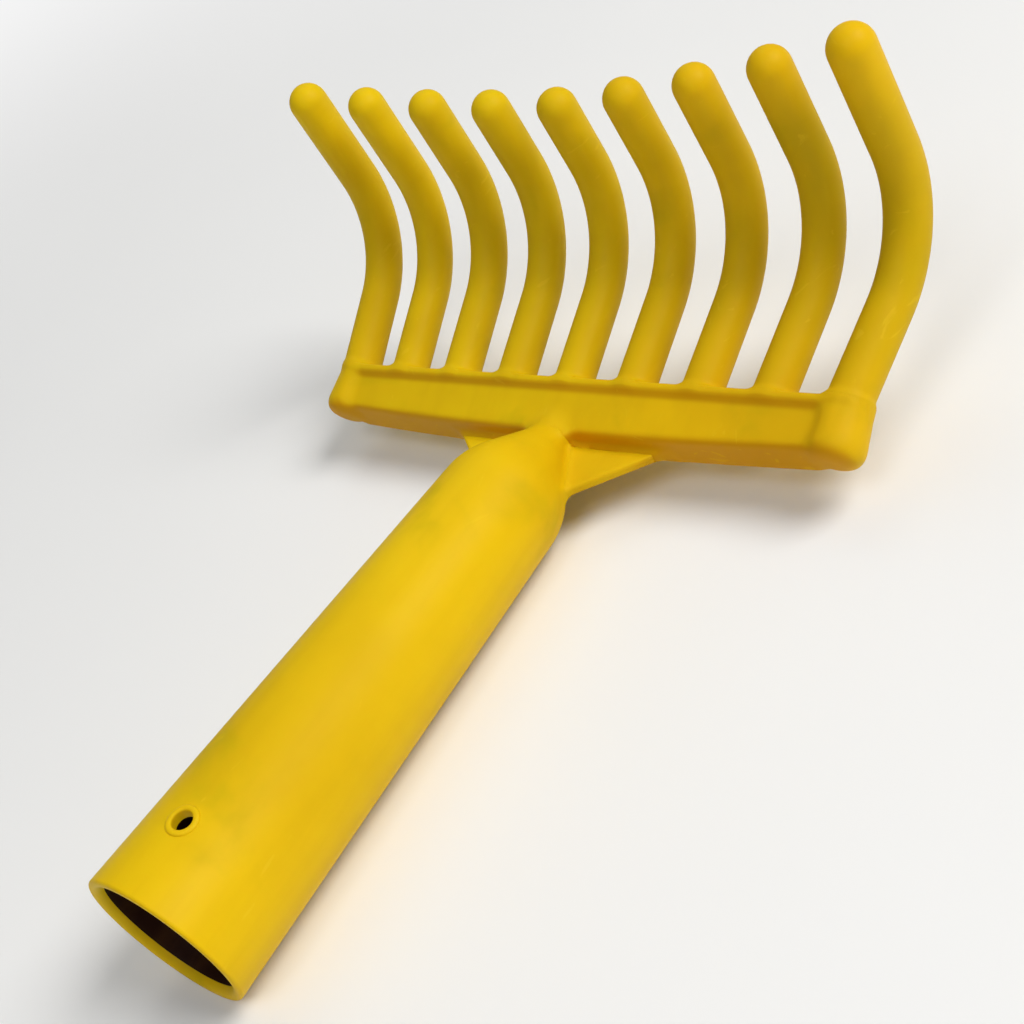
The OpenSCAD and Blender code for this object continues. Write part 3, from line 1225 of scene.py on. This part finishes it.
@dataclass(frozen=True)
class MouldedYellow:
    """Satin yellow polyolefin: cloudy flow marks, fine pitting, faint scuffs and a darker band over the
    tines, with painted shade in the corners and on faces that look down towards the mouth, and a painted warm
    cast towards the right end.
    """

    base: Colour = (0.79, 0.53, 0.002)
    # Painted light: a more orange colour towards the right end, where the warm key light falls.
    painted_warm_light: Colour = (0.81, 0.445, 0.0015)
    deep: Tint = Tint((0.60, 0.355, 0.0015), 0.50)
    olive: Tint = Tint((0.47, 0.375, 0.0015), 0.50)
    # A darker, browner colour over the tine roots and bends, weaker at the left end and towards the tips.
    sap: Tint = Tint((0.47, 0.33, 0.0015), 0.80)
    flow: Tint = Tint((0.60, 0.355, 0.0015), 0.16)
    # Painted shade: a browner colour on the faces under the bar and on the neck that look down towards the
    # mouth.
    under: Tint = Tint((0.58, 0.24, 0.001), 0.72)
    scuffed: Tint = Tint((0.85, 0.60, 0.03), 0.22)
    # Painted shade: a dark brown laid into corners and creases by the ambient occlusion mask.
    painted_corner_shade: Tint = Tint((0.36, 0.14, 0.0015), 0.50)
    cloud: Pattern = Pattern(46.0, 3.0, (0.38, 0.72))
    smudge: Pattern = Pattern(21.0, 4.0, (0.55, 0.78), bend=0.4)
    streak: Pattern = Pattern(5.0, 4.0, (0.42, 0.75), (1.0, 0.12, 1.0))
    scratch: Pattern = Pattern(9.0, 6.0, (0.652, 0.70), (1.0, 0.3, 1.6), 2.2)
    pits: Pattern = Pattern(1.1, 2.0)
    swell: Pattern = Pattern(14.0, 2.0)
    # Reach, samples and span of the ambient occlusion mask for the painted corner shade.
    shade_reach: float = 5.0
    shade_samples: int = 8
    shade_span: Pair = (0.45, 1.0)
    # Where the darker band over the tines lies along x, y and z, and its least shares.
    dark_band_x: Pair = (-66.0, 0.0)
    dark_band_y: Pair = (146.0, 186.0)
    dark_band_fade_z: Pair = (44.0, 66.0)
    dark_band_least: float = 0.45
    dark_band_left: float = 0.4
    dark_band_tips: float = 0.2
    # Which faces, and how far along, the painted shade under the bar reaches.
    under_shade_facing: Pair = (0.45, 1.0)
    under_shade_from: Pair = (136.0, 142.0)
    under_shade_to: Pair = (158.0, 164.0)
    # Where the painted warm light rises along the bar, and its least share in the smudges.
    warm_light_x: Pair = (-22.0, 58.0)
    warm_light_least: float = 0.55
    rough: float = 0.48
    rough_cloud: float = 0.10
    rough_scratch: float = 0.16
    rough_smudge: float = 0.10
    rough_pits: float = 0.06
    high_swell: float = 0.55
    high_pits: float = 0.05
    high_streak: float = 0.05
    deep_scratch: float = 0.03
    bump: float = 0.35
    bump_depth: float = 0.6
    ior: float = 1.5
    shine: float = 0.10
    glow: float = 0.12
    glow_colour: Colour = (1.0, 0.45, 0.06)
    glow_depth: float = 1.6

    def material(self) -> bpy.types.Material:
        """Build the shader.

        Returns:
            The material.
        """
        g = Graph(bpy.data.materials.new("moulded_yellow"))
        patterns = (self.cloud, self.smudge, self.streak, self.scratch, self.pits, self.swell)
        cloud, smudge, streak, scratch, pits, swell = (g.noise(pattern) for pattern in patterns)
        settings = {"samples": self.shade_samples, "only_local": False}
        # Painted shade in corners and creases: ambient occlusion darkens the colour there.
        open_sky = g.value("ShaderNodeAmbientOcclusion", settings, {"Distance": self.shade_reach * MM}, "AO")
        corner = (1.0 - open_sky).between(self.shade_span)
        x, y, z = (g.along(axis) for axis in range(3))
        # Darker band over the tine roots and bends, clouded, fading towards the tips and the left end.
        dark_band_share = y.between(self.dark_band_y, MM) * cloud.least(self.dark_band_least)
        dark_band_share = dark_band_share * (1.0 - z.between(self.dark_band_fade_z, MM)).least(self.dark_band_tips)
        dark_band_share = dark_band_share * x.between(self.dark_band_x, MM).least(self.dark_band_left)
        # Painted shade on faces that look towards the mouth, between the neck and the bar.
        low = (-g.along(1, "Normal")).between(self.under_shade_facing)
        low = low * y.between(self.under_shade_from, MM) * (1.0 - y.between(self.under_shade_to, MM))
        # Painted light: the colour turns warmer towards the right end, broken up by smudges.
        warm_light_share = x.between(self.warm_light_x, MM) * smudge.least(self.warm_light_least)
        colour = g.mix(warm_light_share, self.base, self.painted_warm_light)
        layers = ((cloud, self.deep), (smudge, self.olive), (dark_band_share, self.sap), (streak, self.flow),
                  (low, self.under), (scratch, self.scuffed), (corner, self.painted_corner_shade))
        for where, tint in layers:
            colour = g.mix(where * tint.share, colour, tint.colour)
        rough = self.rough + self.rough_cloud * cloud + self.rough_scratch * scratch
        rough = rough + self.rough_smudge * smudge + self.rough_pits * (pits - NOISE_MIDDLE)
        height = self.high_swell * swell + self.high_pits * pits + self.high_streak * streak
        height = height - self.deep_scratch * scratch
        return g.finish(g.node("ShaderNodeBsdfPrincipled", {"subsurface_method": "RANDOM_WALK"}, {
            "Base Color": colour, "Roughness": rough.clamp(),
            "Normal": g.bump(height, self.bump, self.bump_depth),
            "IOR": self.ior, "Specular IOR Level": self.shine, "Subsurface Weight": self.glow,
            "Subsurface Radius": self.glow_colour, "Subsurface Scale": self.glow_depth * MM,
        }))


@dataclass(frozen=True)
class StainedShadedBore:
    """The bore's wall: the same plastic, stained dark by the pole and by dirt, and painted near-black for the
    shade deep inside the tube.
    """

    # Stain and painted shade: a near-black brown that stands for both the pole's stain and the shade deep in
    # the bore.
    stain_and_shade: Colour = (0.020, 0.004, 0.0005)
    rubbed: Tint = Tint((0.06, 0.02, 0.001), 0.5)
    rub: Pattern = Pattern(7.0, 5.0, (0.45, 0.75), (1.0, 0.15, 1.0))
    grain: Pattern = Pattern(1.4, 3.0)
    rough: float = 0.6
    rough_grain: float = 0.25
    high_grain: float = 0.5
    high_rub: float = 0.5
    bump: float = 0.4
    bump_depth: float = 0.3
    ior: float = 1.5
    shine: float = 0.15

    def material(self) -> bpy.types.Material:
        """Build the shader.

        Returns:
            The material.
        """
        g = Graph(bpy.data.materials.new("stained_bore"))
        rub, grain = g.noise(self.rub), g.noise(self.grain)
        rough = self.rough + self.rough_grain * (grain - NOISE_MIDDLE)
        height = self.high_grain * grain + self.high_rub * rub
        return g.finish(g.node("ShaderNodeBsdfPrincipled", {}, {
            "Base Color": g.mix(rub * self.rubbed.share, self.stain_and_shade, self.rubbed.colour),
            "Roughness": rough.clamp(), "Normal": g.bump(height, self.bump, self.bump_depth),
            "IOR": self.ior, "Specular IOR Level": self.shine,
        }))


@dataclass(frozen=True)
class PaleFloor:
    """Plain pale floor with a trace of mottling, which fades into the backdrop far from the head."""

    backdrop: float
    base: Colour = (0.92, 0.92, 0.92)
    soft: Colour = (0.90, 0.90, 0.90)
    mottle: Pattern = Pattern(180.0, 2.0, (0.3, 0.7))
    rough: float = 0.9
    fade: Pair = (250.0, 900.0)

    def material(self) -> bpy.types.Material:
        """Build the shader.

        Returns:
            The material.
        """
        g = Graph(bpy.data.materials.new("pale_floor"))
        colour = g.mix(g.noise(self.mottle), self.base, self.soft)
        near = g.node("ShaderNodeBsdfPrincipled", {}, {"Base Color": colour, "Roughness": self.rough})
        far = g.node("ShaderNodeEmission", {}, {"Strength": self.backdrop})
        reach = g.value("ShaderNodeVectorMath", {"operation": "LENGTH"}, {0: g.coordinates()}, "Value")
        seen = g.value("ShaderNodeLightPath", {}, {}, "Is Camera Ray")
        shaders = {0: reach.between(self.fade, MM) * seen, 1: near.outputs[0], 2: far.outputs[0]}
        return g.finish(g.node("ShaderNodeMixShader", {}, shaders))


@dataclass(frozen=True)
class Lamp:
    """One soft area lamp that looks at the head, placed and sized in metres."""

    name: str
    place: Triple
    power: float
    size: float
    tint: Colour

    def build(self, target: Vector) -> None:
        """Hang the lamp.

        Args:
            target: The point that it looks at.
        """
        data = bpy.data.lights.new(self.name, "AREA")
        data.shape = "DISK"
        data.size = self.size
        data.energy = self.power
        data.color = self.tint
        lamp = bpy.data.objects.new(self.name, data)
        lamp.location = self.place
        lamp.rotation_euler = (target - lamp.location).to_track_quat("-Z", "Y").to_euler()
        bpy.context.scene.collection.objects.link(lamp)


@dataclass(frozen=True)
class Studio:
    """Floor, soft light and camera, placed in metres."""

    eye: Triple = (0.2475, -0.0518, 0.2063)
    look: Triple = (-0.6714, 0.4730, -0.5705)
    up: Triple = (-0.1059, 0.7007, 0.7056)
    lens: float = 56.25
    sensor: float = 36.0
    world: Colour = (1.0, 1.0, 1.0)
    world_strength: float = 0.24
    backdrop: float = 0.92
    floor_size: float = 6.0
    lamps: tuple[Lamp, ...] = (
        Lamp("key", (1.22, 0.70, 1.46), 28.0, 1.1, (1.0, 0.985, 0.955)),
        Lamp("fill", (-0.50, 0.80, 1.10), 1.6, 0.8, (0.95, 1.0, 0.97)),
        Lamp("front", (0.35, -0.60, 1.20), 4.4, 0.7, (0.98, 0.99, 1.0)),
    )

    def build(self, socket: PoleSocket) -> None:
        """Lay the floor under the tube, hang the lamps and set up the camera.

        Args:
            socket: The socket, whose lower side lies on the floor.
        """
        self.lay_floor(socket)
        target = (CAD_BOX[0] + CAD_BOX[1]) / 2
        for lamp in self.lamps:
            lamp.build(target)
        bpy.context.scene.world = self.sky()
        self.set_camera()
        bpy.context.scene.view_settings.view_transform = "Standard"

    def sky(self) -> bpy.types.World:
        """Make the soft light all round, which the camera sees as a pale backdrop.

        Returns:
            The world.
        """
        g = Graph(bpy.data.worlds.new("studio"))
        seen = g.value("ShaderNodeLightPath", {}, {}, "Is Camera Ray")
        strength = self.world_strength + (self.backdrop - self.world_strength) * seen
        sockets = {"Color": (*self.world, 1.0), "Strength": strength}
        return g.finish(g.node("ShaderNodeBackground", {}, sockets))

    def lay_floor(self, socket: PoleSocket) -> None:
        """Make the floor, level with the lower side of the tube.

        Args:
            socket: The socket that lies on it.
        """
        half = self.floor_size / 2
        spots = ((-half, -half), (half, -half), (half, half), (-half, half))
        corners = [(x, y, socket.taper * y - socket.mouth_r * MM) for x, y in spots]
        mesh = bpy.data.meshes.new("floor")
        mesh.from_pydata(corners, [], [(0, 1, 2, 3)])
        mesh.materials.append(PaleFloor(self.backdrop).material())
        floor = bpy.data.objects.new("floor", mesh)
        bpy.context.scene.collection.objects.link(floor)

    def set_camera(self) -> None:
        """Put the camera at the photograph's angle."""
        data = bpy.data.cameras.new("camera")
        data.lens = self.lens
        data.sensor_width = self.sensor
        camera = bpy.data.objects.new("camera", data)
        back = -Vector(self.look).normalized()
        right = Vector(self.up).cross(back).normalized()
        turn = Matrix((right, back.cross(right), back)).transposed().to_4x4()
        camera.matrix_world = Matrix.Translation(self.eye) @ turn
        bpy.context.scene.collection.objects.link(camera)
        bpy.context.scene.camera = camera


def main() -> None:
    """Build the head piece by piece, then the studio round it."""
    logging.basicConfig(level=logging.INFO, format="%(name)s: %(message)s")
    head = HeadFrame()
    tines = [Tine(number, head) for number in range(1, 2 * Tine.middle)]
    moulding = Moulding(CrossBar(head), PoleSocket(), [Web(side) for side in Side], tines)
    yellow, dark_bore = MouldedYellow().material(), StainedShadedBore().material()
    moulding.socket.dress(moulding, [yellow, dark_bore])
    for piece in (moulding.bar, *moulding.webs, *tines):
        piece.dress(moulding, [yellow])
    Studio().build(moulding.socket)


if __name__ == "__main__":
    main()
